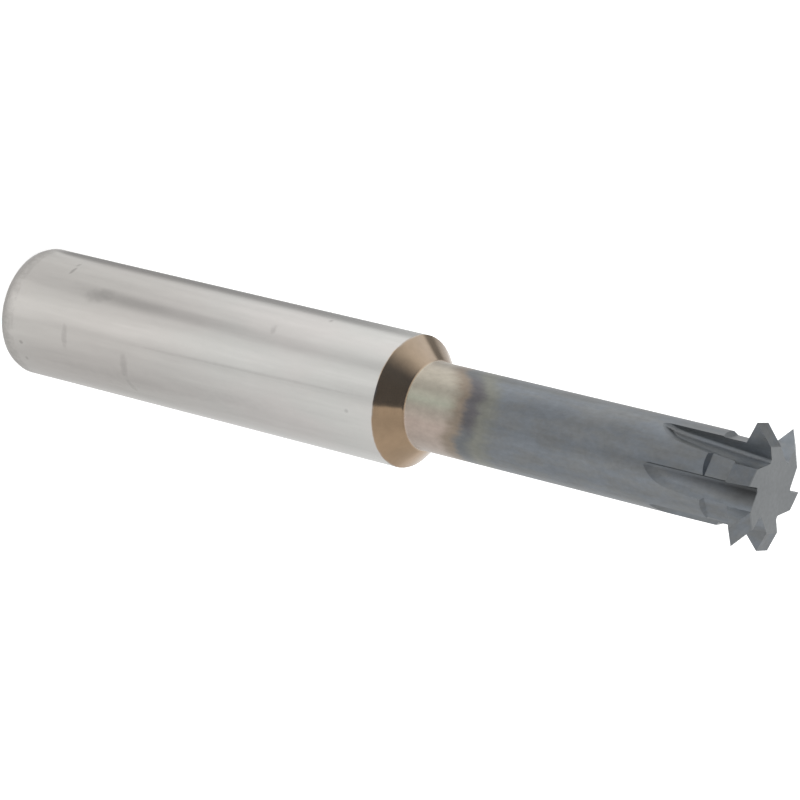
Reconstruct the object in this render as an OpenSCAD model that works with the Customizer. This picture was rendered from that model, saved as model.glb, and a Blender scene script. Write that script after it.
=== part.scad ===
// Double-angle cutter, ground from one carbide rod. It stands on the end of its shank,
// with the tool axis along Z and the origin in the middle of the shank's end face.

/* [Shank] */
// Diameter of the shank
shank_d = 9.525; // [7.5:0.005:16]
// Length of the shank, from its end face to the edge of the shoulder
shank_len = 35.2; // [20:0.1:55]
// Length of the bevel round the end face
bevel_len = 0.4; // [0.2:0.05:1.5]
// Depth of the bevel round the end face
bevel_depth = 0.15; // [0.05:0.05:1]

/* [Neck] */
// Length of the whole cutter
overall_len = 65; // [60:0.1:100]
// Diameter of the neck
neck_d = 6.35; // [6:0.05:7]
// Angle of the shoulder's cone to the axis
shoulder_angle = 45; // [30:1:60]
// Radius of the fillet where the shoulder meets the neck
shoulder_fillet = 0.4; // [0.1:0.05:1]
// Depth of the recess behind a tooth, at its rake face
recess_depth = 0.08; // [0.05:0.01:0.3]
// Angle by which the recess falls away from the rake face
recess_relief = 20; // [8:1:25]
// Length of the recess, from the foot of its wall to the plane of the tooth points
recess_len = 2.65; // [1.8:0.05:5]
// Angle of the recess's wall to the axis
recess_angle = 45; // [35:5:75]

/* [Teeth] */
// Number of teeth
tooth_count = 6; // [5:1:7]
// Diameter over the tooth points
point_d = 9.525; // [8.5:0.005:12]
// Angle between the two flanks of a tooth
included_angle = 60; // [50:1:75]
// Angle by which the land falls away behind the cutting edge
relief_angle = 25; // [10:1:28]
// Width of a tooth from its rake face to its heel
tooth_w = 1.2; // [0.9:0.05:1.4]

/* [Flutes] */
// Diameter across the roots of the gullets at the front face
root_d = 3.96; // [3.2:0.02:4.4]
// Angle by which a gullet's floor rises from its root to the next heel
floor_angle = 12; // [4:1:14]
// Radius in the root of a gullet
root_fillet = 0.25; // [0.2:0.05:0.6]
// Length of a flute from the front face to the start of its run-out
flute_run = 6.4; // [4:0.1:12]
// Angle by which a flute gets shallower towards the shank
flute_taper = 5; // [0:0.5:6]
// Radius of the wheel that leaves the curved run-out
wheel_r = 5; // [4.8:0.1:9]

/* [Hidden] */
$fn = 96;

shank_r = shank_d / 2;
neck_r = neck_d / 2;
point_r = point_d / 2;
root_r = root_d / 2;
shoulder_len = (shank_r - neck_r) / tan(shoulder_angle);
neck_start = shank_len + shoulder_len;

// The front flank runs out at the radius of the neck, which places the tooth points
half_angle = included_angle / 2;
point_depth = (point_r - neck_r) * tan(half_angle);
point_z = overall_len - point_depth;
back_depth = (point_r - root_r) * tan(half_angle);
recess_z = point_z - recess_len;
recess_r = neck_r - recess_depth;

// One tooth and one gullet share each pitch
pitch_angle = 360 / tooth_count;
ridge_share = 0.75;
ridge_angle = pitch_angle * ridge_share;
// Turn by which a tooth runs past its rake face, where the flute cuts it back
spare_angle = 5;

// Heights of the core, the teeth and the cutting shapes above the front, before it is faced
core_rise = 0.5;
tooth_rise = 1;
cut_rise = 2;

// Reach of the cutting shapes past the tooth points
clearance = 1.5;
clear_r = point_r + clearance;
clear_d = clear_r + clear_r;

// Turn of the wheel that is drawn at a run-out
wheel_turn = 60;

// Flat steps in a drawn arc
arc_steps = 6;

module bevelled_shank() {
    color([0.78, 0.77, 0.75])
    union() {
        cylinder(h = bevel_len, r1 = shank_r - bevel_depth, r2 = shank_r);
        translate([0, 0, bevel_len])
            cylinder(h = shank_len - bevel_len, r = shank_r);
    }
}

// Points of an arc round a centre, from one angle to another
function arc(centre, r, from_a, to_a) =
    [for (i = [0 : arc_steps]) let (a = from_a + (to_a - from_a) * i / arc_steps)
        centre + r * [cos(a), sin(a)]];

// The cone ends in a fillet that is tangent to the cone and to the neck
module shoulder() {
    fillet_span = shoulder_fillet * tan(shoulder_angle / 2);
    fillet_centre = [neck_r + shoulder_fillet, neck_start + fillet_span];
    color([0.60, 0.51, 0.40])
    rotate_extrude()
        polygon(concat(
            [[0, shank_len], [shank_r, shank_len]],
            arc(fillet_centre, shoulder_fillet, 180 + shoulder_angle, 180),
            [[0, neck_start + fillet_span]]
        ));
}

module neck() {
    color([0.46, 0.48, 0.49])
    translate([0, 0, neck_start])
        cylinder(h = point_z - neck_start, r = neck_r);
}

// Flat ground behind one tooth, up to a sloping wall. It falls away from the rake face, though
// less than the land of the tooth does.
module recess_cut() {
    reach = clear_r - recess_r;
    color([0.46, 0.48, 0.49])
    rotate([0, 0, -recess_relief])
        translate([recess_r * cos(recess_relief), 0, recess_z])
            rotate([90, 0, 0])
                linear_extrude(height = clear_d, center = true)
                    polygon([
                        [0, 0],
                        [0, recess_len + cut_rise],
                        [reach, recess_len + cut_rise],
                        [reach, -reach / tan(recess_angle)]
                    ]);
}

// Solid middle of the head, which the floors of the gullets cut into. It is left long,
// as the teeth are, until the front is faced.
module core() {
    core_start = point_z - recess_len / 2;
    color([0.46, 0.48, 0.49])
    translate([0, 0, core_start])
        cylinder(h = overall_len + core_rise - core_start, r = (root_r + neck_r) / 2);
}

// V-shaped ridge whose point lies at the origin and whose depth runs along -X.
// It is drawn square to the relieved land, so depths shrink by the cosine of the relief.
module ridge_section() {
    flank_slope = cos(relief_angle) / tan(half_angle);
    front_depth = point_depth + tooth_rise;
    polygon([
        [0, 0],
        [-front_depth * flank_slope, front_depth],
        [-point_d, front_depth],
        [-point_d, -back_depth],
        [-back_depth * flank_slope, -back_depth]
    ]);
}

function polar(r, a) = r * [cos(a), sin(a)];

// One tooth, relieved towards -Y. It starts inside the core and runs a little past the plane
// y = 0, where the flute leaves its rake face.
module tooth() {
    start_r = root_r / 2;
    color([0.49, 0.52, 0.54])
    translate([0, 0, point_z])
        intersection() {
            translate([point_r, 0, 0])
                rotate([0, 0, -relief_angle])
                    rotate([90, 0, 0])
                        linear_extrude(height = clear_d, center = true)
                            ridge_section();
            linear_extrude(height = clear_d, center = true)
                polygon([
                    polar(start_r, spare_angle),
                    polar(clear_r, spare_angle),
                    polar(clear_r, -ridge_angle),
                    polar(start_r, -ridge_angle)
                ]);
        }
}

// Section of a gullet: the rake wall lies along X, the floor rises from its root to the heel of
// the next tooth, and the heel's wall is parallel to the rake face of that tooth
module gullet_section() {
    heel_run = (root_r - tooth_w * (sin(pitch_angle) + cos(pitch_angle) * tan(floor_angle)))
        / (cos(pitch_angle) - sin(pitch_angle) * tan(floor_angle));
    heel_x = heel_run * cos(pitch_angle) + tooth_w * sin(pitch_angle);
    heel_y = heel_run * sin(pitch_angle) - tooth_w * cos(pitch_angle);
    fillet_x = root_r + root_fillet * (1 + sin(floor_angle)) / cos(floor_angle);
    polygon(concat(
        [[clear_r, 0], [heel_x, heel_y] + polar(clear_r, pitch_angle), [heel_x, heel_y]],
        arc([fillet_x, root_fillet], root_fillet, 180 - floor_angle, 270)
    ));
}

// Straight flute that gets shallower towards the shank and ends in the curve of the wheel
module flute() {
    color([0.30, 0.32, 0.33])
    translate([root_r, 0, overall_len])
        rotate([0, -flute_taper, 0])
            translate([-root_r, 0, -flute_run]) {
                linear_extrude(height = flute_run + cut_rise)
                    gullet_section();
                translate([root_r + wheel_r, 0, 0])
                    rotate([-90, 0, 0])
                        mirror([1, 0, 0])
                            rotate_extrude(angle = wheel_turn)
                                translate([root_r + wheel_r, 0])
                                    mirror([1, 0])
                                        gullet_section();
            }
}

// Material in front of the cutter, taken off to leave its flat face
module facing_cut() {
    color([0.49, 0.52, 0.54])
    translate([0, 0, overall_len])
        cylinder(h = cut_rise, r = clear_r);
}

module cutter() {
    difference() {
        union() {
            bevelled_shank();
            shoulder();
            difference() {
                neck();
                for (i = [0 : tooth_count - 1])
                    rotate([0, 0, i * pitch_angle])
                        recess_cut();
            }
            core();
            for (i = [0 : tooth_count - 1])
                rotate([0, 0, i * pitch_angle])
                    tooth();
        }
        facing_cut();
        for (i = [0 : tooth_count - 1])
            rotate([0, 0, i * pitch_angle])
                flute();
    }
}

cutter();
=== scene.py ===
from math import cos, radians, sin

import bpy
from mathutils import Matrix, Vector

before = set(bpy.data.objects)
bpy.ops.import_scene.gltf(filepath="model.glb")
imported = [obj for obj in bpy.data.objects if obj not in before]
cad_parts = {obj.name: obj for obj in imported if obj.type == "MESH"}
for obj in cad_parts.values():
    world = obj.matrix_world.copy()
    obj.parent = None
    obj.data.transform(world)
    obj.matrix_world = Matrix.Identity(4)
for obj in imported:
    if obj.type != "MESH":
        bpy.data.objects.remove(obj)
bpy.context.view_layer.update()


# Cutter
# One rod of cemented carbide, ground all over. The shank is bare, the shoulder is straw-coloured
# from heat, and a blue-grey coating covers the head and most of the neck, where it starts in
# beige, brown and violet.
def add(tree, kind, inputs=None, **settings):
    """A new node of one kind, with its settings, and its inputs set to values or linked."""
    made = tree.nodes.new(kind)
    for name, value in settings.items():
        setattr(made, name, value)
    for name, value in (inputs or {}).items():
        if isinstance(value, bpy.types.NodeSocket):
            tree.links.new(value, made.inputs[name])
        else:
            made.inputs[name].default_value = value
    return made


def calc(tree, operation, *values):
    """The result of one sum on values or sockets."""
    return add(tree, "ShaderNodeMath", dict(enumerate(values)), operation=operation).outputs[0]


def product(tree, first, *others):
    """Values or sockets multiplied together."""
    for other in others:
        first = calc(tree, "MULTIPLY", first, other)
    return first


def vector(tree, operation, a, b):
    """The result of one sum on two vectors."""
    return add(tree, "ShaderNodeVectorMath", {0: a, 1: b}, operation=operation).outputs[0]


def between(tree, value, low, high, to_low=0.0, to_high=1.0, kind="SMOOTHSTEP"):
    """A value carried smoothly from one range to another, and held at its ends."""
    return add(tree, "ShaderNodeMapRange", {0: value, 1: low, 2: high, 3: to_low, 4: to_high},
               interpolation_type=kind).outputs[0]


def window(tree, value, low, low_full, high_full, high):
    """A mask that rises from one value to the next, stays full and falls again."""
    return product(tree, between(tree, value, low, low_full),
                   between(tree, value, high_full, high, 1.0, 0.0))


def blend(tree, factor, a, b):
    """Two colours mixed by a factor."""
    a, b = ((*c, 1) if isinstance(c, tuple) else c for c in (a, b))
    return add(tree, "ShaderNodeMix", {0: factor, 6: a, 7: b}, data_type="RGBA").outputs[2]


def scaled(tree, colour, factor):
    """A colour or a place multiplied by a factor."""
    return add(tree, "ShaderNodeVectorMath", {0: colour, "Scale": factor},
               operation="SCALE").outputs[0]


def shaded(tree, colour, amount):
    """A colour with a share of its light taken away."""
    return scaled(tree, colour, calc(tree, "SUBTRACT", 1.0, amount))


def ramp(tree, value, low, high, stops, how="LINEAR"):
    """Colours or greys along a value, given as (value, colour) pairs from low to high."""
    made = add(tree, "ShaderNodeValToRGB", {0: between(tree, value, low, high, kind="LINEAR")})
    made.color_ramp.interpolation = how
    keys = made.color_ramp.elements
    for _ in stops[2:]:
        keys.new(0.5)
    for key, (place, colour) in zip(keys, stops):
        key.position = (place - low) / (high - low)
        key.color = (*(colour if isinstance(colour, tuple) else (colour,) * 3), 1)
    return made.outputs[0]


def noise(tree, place, lumps, detail, rough):
    """Soft noise from 0 to 1, with so many lumps a millimetre along X, Y and Z."""
    return add(tree, "ShaderNodeTexNoise", {
        "Vector": vector(tree, "MULTIPLY", place, lumps), "Scale": 1.0,
        "Detail": detail, "Roughness": rough}).outputs[0]


def swing(tree, value, amount, middle=1.0):
    """A factor that moves either side of its middle as a noise goes from 0 to 1."""
    return calc(tree, "MULTIPLY_ADD", calc(tree, "SUBTRACT", value, 0.5), amount, middle)


# Sizes of the tool in millimetres, as the frame gives them in metres
metre = 1000
shank_r = 4.7625
shoulder_at, neck_at, flutes_at, face_at = 35.2, 36.8, 50.0, 65.0

carbide = bpy.data.materials.new("carbide")
carbide.use_nodes = True
tree = carbide.node_tree
tree.nodes.clear()
object_space = add(tree, "ShaderNodeTexCoord").outputs
place = scaled(tree, object_space["Object"], metre)
x, y, height = add(tree, "ShaderNodeSeparateXYZ", {0: place}).outputs
turn = calc(tree, "ARCTAN2", y, x)
turn_deg = calc(tree, "DEGREES", turn)
from_axis = calc(tree, "SQRT", calc(tree, "ADD", product(tree, x, x), product(tree, y, y)))

streaks = noise(tree, place, (0.9, 0.9, 0.05), 3.0, 0.6)
lines = noise(tree, place, (5.0, 5.0, 0.12), 2.0, 0.6)
rings = noise(tree, place, (0.15, 0.15, 5.0), 3.0, 0.7)
mottle = noise(tree, place, (0.6, 0.6, 0.45), 4.0, 0.6)
grain = noise(tree, place, (3.0, 3.0, 2.2), 3.0, 0.6)
soft_spots = noise(tree, place, (0.30, 0.30, 0.25), 2.0, 0.5)
blotches = noise(tree, place, (0.55, 0.55, 0.22), 3.0, 0.6)
patches = noise(tree, place, (1.1, 1.1, 0.40), 4.0, 0.65)
clouds = noise(tree, place, (0.22, 0.22, 0.1), 2.0, 0.5)

# Bare ground shank, a little rosy or green in places and warmer towards its end
rosy, greenish, warm = (0.601, 0.580, 0.561), (0.590, 0.585, 0.564), (0.604, 0.576, 0.545)
silver = blend(tree, between(tree, clouds, 0.38, 0.62), rosy, greenish)
silver = blend(tree, between(tree, height, 8, 26, 0.7, 0.0), silver, warm)
for wave, amount in ((streaks, 0.22), (patches, 0.10)):
    silver = scaled(tree, silver, swing(tree, wave, amount))


def mark(colour, at_deg, at_z, around, along, lean_deg, depth):
    """The colour with a soft dark mark in it: an ellipse with half sizes in millimetres."""
    across = product(tree, calc(tree, "SUBTRACT", turn, radians(at_deg)), shank_r)
    up = calc(tree, "SUBTRACT", height, at_z)
    c, s = cos(radians(lean_deg)), sin(radians(lean_deg))
    p = calc(tree, "MULTIPLY_ADD", across, c / around, product(tree, up, s / around))
    q = calc(tree, "MULTIPLY_ADD", up, c / along, product(tree, across, -s / along))
    far = calc(tree, "ADD", product(tree, p, p), product(tree, q, q))
    far = calc(tree, "ADD", far, swing(tree, grain, 1.6, 0.0))
    return scaled(tree, colour, between(tree, far, -0.2, 1.5, 1 - depth, 1.0))


# Scratches, rubs and specks, each by its place, half sizes, lean and depth
for spot in (
        (72.0, 4.76, 0.45, 0.17, -8, 0.27), (62.5, 4.66, 0.28, 0.15, -14, 0.18),
        (135.0, 6.40, 0.95, 0.30, 0, 0.15), (149.0, 12.18, 1.05, 0.38, -4, 0.15),
        (170.0, 12.42, 0.65, 0.28, 25, 0.10), (151.4, 1.96, 0.18, 0.20, 0, 0.28),
        (168.9, 2.03, 0.20, 0.17, 0, 0.24), (92.0, 8.60, 0.66, 1.30, 15, 0.15),
        (91.5, 12.0, 0.34, 3.20, 0, 0.06), (84.0, 24.75, 0.45, 0.26, 20, 0.13),
        (57.4, 28.30, 0.20, 0.18, 0, 0.20), (138.8, 32.94, 0.16, 0.20, 0, 0.18),
        (160.0, 15.50, 0.80, 10.5, 3, 0.07), (126.0, 23.50, 0.12, 11.5, 1, 0.08)):
    silver = mark(silver, *spot)

# Darker, dotted ring just above the bevel
ring_spots = between(tree, grain, 0.35, 0.6, 0.0, 0.09)
silver = shaded(tree, silver, product(tree, window(tree, height, 0.30, 0.50, 1.15, 1.35), ring_spots))

# Heat tint on the shoulder, palest on one side
palest_turn = radians(45)
cone = ramp(tree, calc(tree, "ABSOLUTE", calc(tree, "SUBTRACT", turn, palest_turn)), 0.0, 3.2, [
    (0.0, (0.44, 0.355, 0.275)), (0.5, (0.43, 0.33, 0.235)), (1.1, (0.425, 0.30, 0.195)),
    (3.2, (0.41, 0.295, 0.195))])
cone = scaled(tree, cone, swing(tree, mottle, 0.5))

# Coating, with blotches and lengthwise streaks
coat_grey, coat_blue = (0.212, 0.221, 0.226), (0.192, 0.209, 0.228)
coat = blend(tree, between(tree, patches, 0.36, 0.64), coat_grey, coat_blue)
for wave, amount in ((streaks, 0.32), (blotches, 0.36), (patches, 0.42)):
    coat = scaled(tree, coat, swing(tree, wave, amount, 0.99))

# Oxide colours where the coating starts. Its ragged front lies nearer the shank on some sides.
beige = ramp(tree, turn_deg, -180, 180, [
    (-180, (0.42, 0.36, 0.315)), (60, (0.44, 0.40, 0.335)), (96, (0.43, 0.40, 0.335)),
    (112, (0.38, 0.385, 0.315)), (124, (0.42, 0.375, 0.32)), (142, (0.43, 0.355, 0.31)),
    (180, (0.42, 0.36, 0.315))])
beige = scaled(tree, beige, swing(tree, patches, 0.35))
brown, olive = (0.27, 0.225, 0.18), (0.225, 0.228, 0.203)
slate, violet = (0.165, 0.173, 0.178), (0.140, 0.135, 0.142)
dark_band = blend(tree, window(tree, turn_deg, 50, 80, 128, 146), slate, violet)
early = ramp(tree, turn_deg, -180, 180, [
    (-180, 0.8), (-60, 0.4), (40, 2.2), (55, 1.9), (75, 0.9), (93, 0.30), (122, 0.15),
    (140, 0.4), (155, 0.8), (180, 0.8)])
coating_front = calc(tree, "ADD", height, early)
for wave, amount in ((soft_spots, 1.6), (streaks, 1.2), (patches, 1.4)):
    coating_front = calc(tree, "ADD", coating_front, swing(tree, wave, amount, 0.0))
neck = beige
for starts, full, tint in (
        (40.1, 41.4, brown), (41.3, 42.2, dark_band), (42.4, 43.6, olive), (43.5, 45.4, coat)):
    neck = blend(tree, between(tree, coating_front, starts, full), neck, tint)
neck = scaled(tree, neck, swing(tree, grain, 0.34))

colour = blend(tree, between(tree, height, neck_at - 0.05, neck_at + 0.1), cone, neck)
edge = calc(tree, "ADD", height, swing(tree, mottle, 0.3, 0.0))
tinted = between(tree, edge, shoulder_at - 0.1, shoulder_at + 0.08)
colour = blend(tree, tinted, silver, colour)
end_face = scaled(tree, (0.232, 0.242, 0.248), swing(tree, grain, 0.3))
colour = blend(tree, between(tree, height, face_at - 0.07, face_at - 0.03), colour, end_face)

rough = ramp(tree, height, 30.0, 50.0, [
    (30.0, 0.24), (35.18, 0.24), (35.22, 0.16), (36.8, 0.16), (36.9, 0.30), (40.0, 0.32),
    (43.0, 0.38), (50.0, 0.38)])
rough = product(tree, rough, swing(tree, lines, 0.3))

# Flutes are ground rougher. Their walls are the faces that look round the axis, and their
# floors are the deepest.
normal = object_space["Normal"]
nx, ny, _ = add(tree, "ShaderNodeSeparateXYZ", {0: normal}).outputs
facing = calc(tree, "SUBTRACT", product(tree, x, ny), product(tree, y, nx))
facing = calc(tree, "ABSOLUTE", calc(tree, "DIVIDE", facing, from_axis))
fluted = window(tree, height, flutes_at - 1, flutes_at + 1, face_at - 0.07, face_at - 0.03)
walls = product(tree, fluted, between(tree, facing, 0.5, 0.8))
floors = product(tree, fluted, between(tree, from_axis, 2.80, 2.88, 1.0, 0.0))
extra_rough, floor_metal, wall_metal = 0.12, 0.45, 0.92
rough = calc(tree, "MULTIPLY_ADD", calc(tree, "MAXIMUM", walls, floors), extra_rough, rough)
metal = between(tree, floors, 0, 1, 1.0, floor_metal)
metal = between(tree, walls, 0, 1, metal, wall_metal)

# Painted shade in the flute roots on one side, found by their distance from the rake face, and
# painted light on the floors and walls on other sides
flute_pitch = 60.0
past_rake = calc(tree, "FLOORED_MODULO", turn_deg, flute_pitch)
past_rake = product(tree, from_axis, calc(tree, "SINE", calc(tree, "RADIANS", past_rake)))
root_shade_width = between(tree, height, 56, 65, 0.5, 1.7, "LINEAR")
root_shade_mask = between(tree, calc(tree, "DIVIDE", past_rake, root_shade_width), 0.2, 1.0, 1.0, 0.0)
painted_shade_side = between(tree, turn_deg, 108, 122)
root_shade_depth = between(tree, height, 57, 64, 0.15, 0.68, "LINEAR")
# Painted shade along the flute roots, deeper towards the end face
colour = shaded(tree, colour, product(tree, floors, painted_shade_side, root_shade_depth, root_shade_mask))
# Painted light on the flute floors and walls on the other sides
floors_painted_light = product(tree, floors, window(tree, turn_deg, 40, 55, 108, 122), 0.14)
rake_side_painted_light = product(tree, window(tree, turn_deg, -50, -30, 25, 45), 0.42)
heel_side_painted_light = product(tree, window(tree, turn_deg, 132, 144, 172, 178), 0.28)
walls_painted_light = product(tree, walls, calc(tree, "ADD", rake_side_painted_light, heel_side_painted_light))
painted_light = calc(tree, "ADD", floors_painted_light, walls_painted_light)
colour = scaled(tree, colour, calc(tree, "ADD", 1.0, painted_light))

# Fine grinding lines run round the axis. A small share along each surface gives them a direction
# on rake faces too, which look straight round the axis.
sideways = vector(tree, "CROSS_PRODUCT", (0, 0, 0.2), normal)
grinding = vector(tree, "ADD", vector(tree, "CROSS_PRODUCT", (0, 0, 1), place), sideways)
bump = add(tree, "ShaderNodeBump", {"Strength": 0.15, "Distance": 0.00002, "Height": rings})
shader = add(tree, "ShaderNodeBsdfPrincipled", {
    "Base Color": colour, "Metallic": metal, "Roughness": rough, "Normal": bump.outputs[0],
    "Anisotropic": 0.6, "Anisotropic Rotation": 0.25, "Tangent": grinding})
add(tree, "ShaderNodeOutputMaterial", {"Surface": shader.outputs[0]})

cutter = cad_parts["cutter"]
cutter.data.materials.clear()
cutter.data.materials.append(carbide)

# Camera
# A long lens looks down on the head from the side, with the frame turned so that the tool lies
# almost level across it.
azimuth, elevation, roll = radians(116.9003), radians(35.6609), radians(103.8550)
camera_at = (-0.0983904, 0.1936235, 0.1898642)
picture_px, focal_px = 800, 3810.4
quarter_turn = radians(90)
camera = bpy.data.objects.new("camera", bpy.data.cameras.new("camera"))
bpy.context.scene.collection.objects.link(camera)
camera.data.sensor_width = 36.0
camera.data.lens = camera.data.sensor_width * focal_px / picture_px
camera.data.clip_start = 0.01
camera.data.clip_end = 20.0
camera.matrix_world = (Matrix.Translation(camera_at)
                       @ Matrix.Rotation(azimuth + quarter_turn, 4, "Z")
                       @ Matrix.Rotation(quarter_turn - elevation, 4, "X")
                       @ Matrix.Rotation(roll, 4, "Z"))
bpy.context.scene.camera = camera

# Floor
# A sheet of white card. Polished metal sees a glow painted on it in soft bright and dull fields
# round the tool, which stands in for the panels of a light tent.
half_width = 3
corners = [(side * half_width, end * half_width, 0)
           for side, end in ((-1, -1), (1, -1), (1, 1), (-1, 1))]
floor_mesh = bpy.data.meshes.new("floor")
floor_mesh.from_pydata(corners, [], [(0, 1, 2, 3)])
floor = bpy.data.objects.new("floor", floor_mesh)
bpy.context.scene.collection.objects.link(floor)
card = bpy.data.materials.new("card")
card.use_nodes = True
tree = card.node_tree
tree.nodes.clear()
path = add(tree, "ShaderNodeLightPath").outputs
place = scaled(tree, add(tree, "ShaderNodeTexCoord").outputs["Object"], metre)
to_camera = (0, 0, -azimuth)
place = add(tree, "ShaderNodeMapping", {"Vector": place, "Rotation": to_camera}).outputs[0]
x, y, _ = add(tree, "ShaderNodeSeparateXYZ", {0: place}).outputs
bearing = calc(tree, "DEGREES", calc(tree, "ARCTAN2", y, x))
reach = add(tree, "ShaderNodeVectorMath", {0: place}, operation="LENGTH").outputs["Value"]

# Brightness by bearing, in three rings round the tool
near = ramp(tree, bearing, -180, 180, [
    (-180, 0.95), (-128, 0.90), (-95, 0.90), (-75, 0.84), (-60, 0.82), (-46, 0.80), (-36, 0.80),
    (-26, 0.89), (-17, 0.96), (0, 1.03), (9, 0.97), (18, 0.85), (30, 0.87), (45, 0.80),
    (60, 0.70), (110, 0.68), (130, 0.74), (180, 0.95)], "EASE")
middle = ramp(tree, bearing, -180, 180, [
    (-180, 1.0), (-128, 1.02), (-100, 1.10), (-80, 1.12), (-60, 1.04), (-48, 0.96), (-38, 0.90),
    (-26, 1.06), (-10, 1.14), (0, 1.14), (10, 1.10), (18, 0.88), (30, 0.98), (50, 0.92),
    (80, 0.84), (110, 0.77), (140, 0.84), (180, 0.95)], "EASE")
far = ramp(tree, bearing, -180, 180, [
    (-180, 1.0), (-128, 1.0), (-100, 1.30), (-80, 1.28), (-60, 1.12), (-48, 0.98), (-38, 0.90),
    (-26, 1.02), (-12, 1.02), (0, 0.84), (10, 0.76), (18, 0.80), (28, 1.02), (40, 1.12),
    (60, 1.10), (90, 1.00), (140, 0.94), (180, 1.0)], "EASE")
fields = blend(tree, between(tree, reach, 20.0, 42.0, kind="LINEAR"), near, middle)
fields = blend(tree, between(tree, reach, 46.0, 62.0, kind="LINEAR"), fields, far)

# Painted dull fields in the glow: a dull streak that starts close to the shank, a dull patch
# further out, and the gap behind the tool, which is seen from a little beside the axis
dull = product(tree, window(tree, bearing, -60, -50, -40, -30), ramp(tree, reach, 0, 100, [
    (0, 0.0), (13, 0.0), (15.5, 0.30), (30, 0.20), (37, 0.05), (42, 0.0), (52, 0.0), (62, 0.25),
    (76, 0.25), (87, 0.0), (100, 0.0)]))
patch = product(tree, window(tree, bearing, -48, -30, -6, 12),
                between(tree, reach, 125, 150, 0.0, 0.25))
gap_x, gap_y = calc(tree, "SUBTRACT", x, 1.0), calc(tree, "ADD", y, 4.6)
gap_deg = calc(tree, "DEGREES", calc(tree, "ARCTAN2", gap_y, gap_x))
gap = product(tree, window(tree, gap_deg, -169, -164, -137, -118), ramp(tree, reach, 0, 600, [
    (0, 0.60), (46, 0.60), (60, 0.12), (100, 0.12), (150, 0.30), (240, 0.30), (600, 0.75)]))
for shade in (dull, patch, gap):
    fields = shaded(tree, fields, shade)
# Painted shadow round the foot of the tool, as mirrors see it
painted_shadow_under_tool = (0.62, 0.62, 0.62)
fields = blend(tree, between(tree, reach, 5.0, 5.8), painted_shadow_under_tool, fields)

# The camera sees the card lit, with enough glow to be white, and mirrors see the fields
card_white, glow_strength = (0.8, 0.8, 0.8, 1), 0.5
glow = product(tree, path["Is Camera Ray"], glow_strength)
lit = add(tree, "ShaderNodeAddShader", {
    0: add(tree, "ShaderNodeBsdfDiffuse", {0: card_white}).outputs[0],
    1: add(tree, "ShaderNodeEmission", {1: glow}).outputs[0]}).outputs[0]
mirrored = calc(tree, "MAXIMUM", path["Is Glossy Ray"], path["Is Transmission Ray"])
surface = add(tree, "ShaderNodeMixShader", {
    0: mirrored, 1: lit, 2: add(tree, "ShaderNodeEmission", {0: fields}).outputs[0]}).outputs[0]
add(tree, "ShaderNodeOutputMaterial", {"Surface": surface})
floor_mesh.materials.append(card)

# Room
# The white tent over the tool. It has a dark opening above the camera, which shows as the black
# field on the shoulder, and the gap behind the tool goes on up its wall.
world = bpy.data.worlds.new("tent")
bpy.context.scene.world = world
world.use_nodes = True
tree = world.node_tree
tree.nodes.clear()
path = add(tree, "ShaderNodeLightPath").outputs
place = add(tree, "ShaderNodeTexCoord").outputs["Generated"]
place = add(tree, "ShaderNodeMapping", {"Vector": place, "Rotation": to_camera}).outputs[0]
x, y, up = add(tree, "ShaderNodeSeparateXYZ", {0: place}).outputs
bearing = calc(tree, "DEGREES", calc(tree, "ARCTAN2", y, x))
wall = ramp(tree, bearing, -180, 180, [
    (-180, 1.0), (-120, 1.05), (26, 1.05), (32, 0.60), (55, 0.62), (90, 0.78), (160, 0.82),
    (180, 1.0)])
bright_roof, dim_crown, opening_blue = (1.05,) * 3, (0.74,) * 3, (0.125, 0.145, 0.18)
wall = blend(tree, between(tree, up, 0.78, 0.84), wall, bright_roof)
wall = blend(tree, between(tree, up, 0.92, 0.98), wall, dim_crown)
opening = product(tree, window(tree, bearing, -112, -52, 27, 30),
                  window(tree, up, 0.15, 0.45, 0.88, 0.97))
wall = blend(tree, opening, wall, opening_blue)
gap = product(tree, window(tree, bearing, -169, -164, -138, -131), ramp(tree, up, 0, 1, [
    (0, 0.80), (0.12, 0.75), (0.30, 0.55), (0.40, 0.50), (0.50, 0.0), (1, 0.0)]))
gap_black = (0.1, 0.1, 0.1)
wall = blend(tree, gap, wall, gap_black)

# White to the camera, the wall to mirrors, and plain soft light to everything else
wall = blend(tree, path["Is Glossy Ray"], (1, 1, 1), wall)
seen = add(tree, "ShaderNodeBackground", {0: wall}).outputs[0]
white, soft_strength = (1, 1, 1, 1), 0.7
soft = add(tree, "ShaderNodeBackground", {0: white, 1: soft_strength}).outputs[0]
direct = calc(tree, "MAXIMUM", path["Is Camera Ray"], path["Is Glossy Ray"])
direct = calc(tree, "MAXIMUM", direct, path["Is Transmission Ray"])
sky = add(tree, "ShaderNodeMixShader", {0: direct, 1: soft, 2: seen}).outputs[0]
add(tree, "ShaderNodeOutputWorld", {"Surface": sky})

# Lamps
# Two wide soft boxes, the brighter one on the camera's side of the tool.
distance, box_size = 0.6, 0.5
for name, side_deg, rise_deg, power in (("key", 60, 50, 2.0), ("fill", -120, 40, 1.0)):
    across, rise = azimuth + radians(side_deg), radians(rise_deg)
    soft_box = bpy.data.lights.new(name, "AREA")
    soft_box.size, soft_box.energy = box_size, power
    lamp = bpy.data.objects.new(name, soft_box)
    bpy.context.scene.collection.objects.link(lamp)
    at = Vector((cos(across) * cos(rise), sin(across) * cos(rise), sin(rise))) * distance
    lamp.matrix_world = Matrix.Translation(at) @ at.to_track_quat("Z", "Y").to_matrix().to_4x4()
    lamp.visible_glossy = False
    lamp.visible_camera = False

bpy.context.scene.view_settings.view_transform = "Standard"
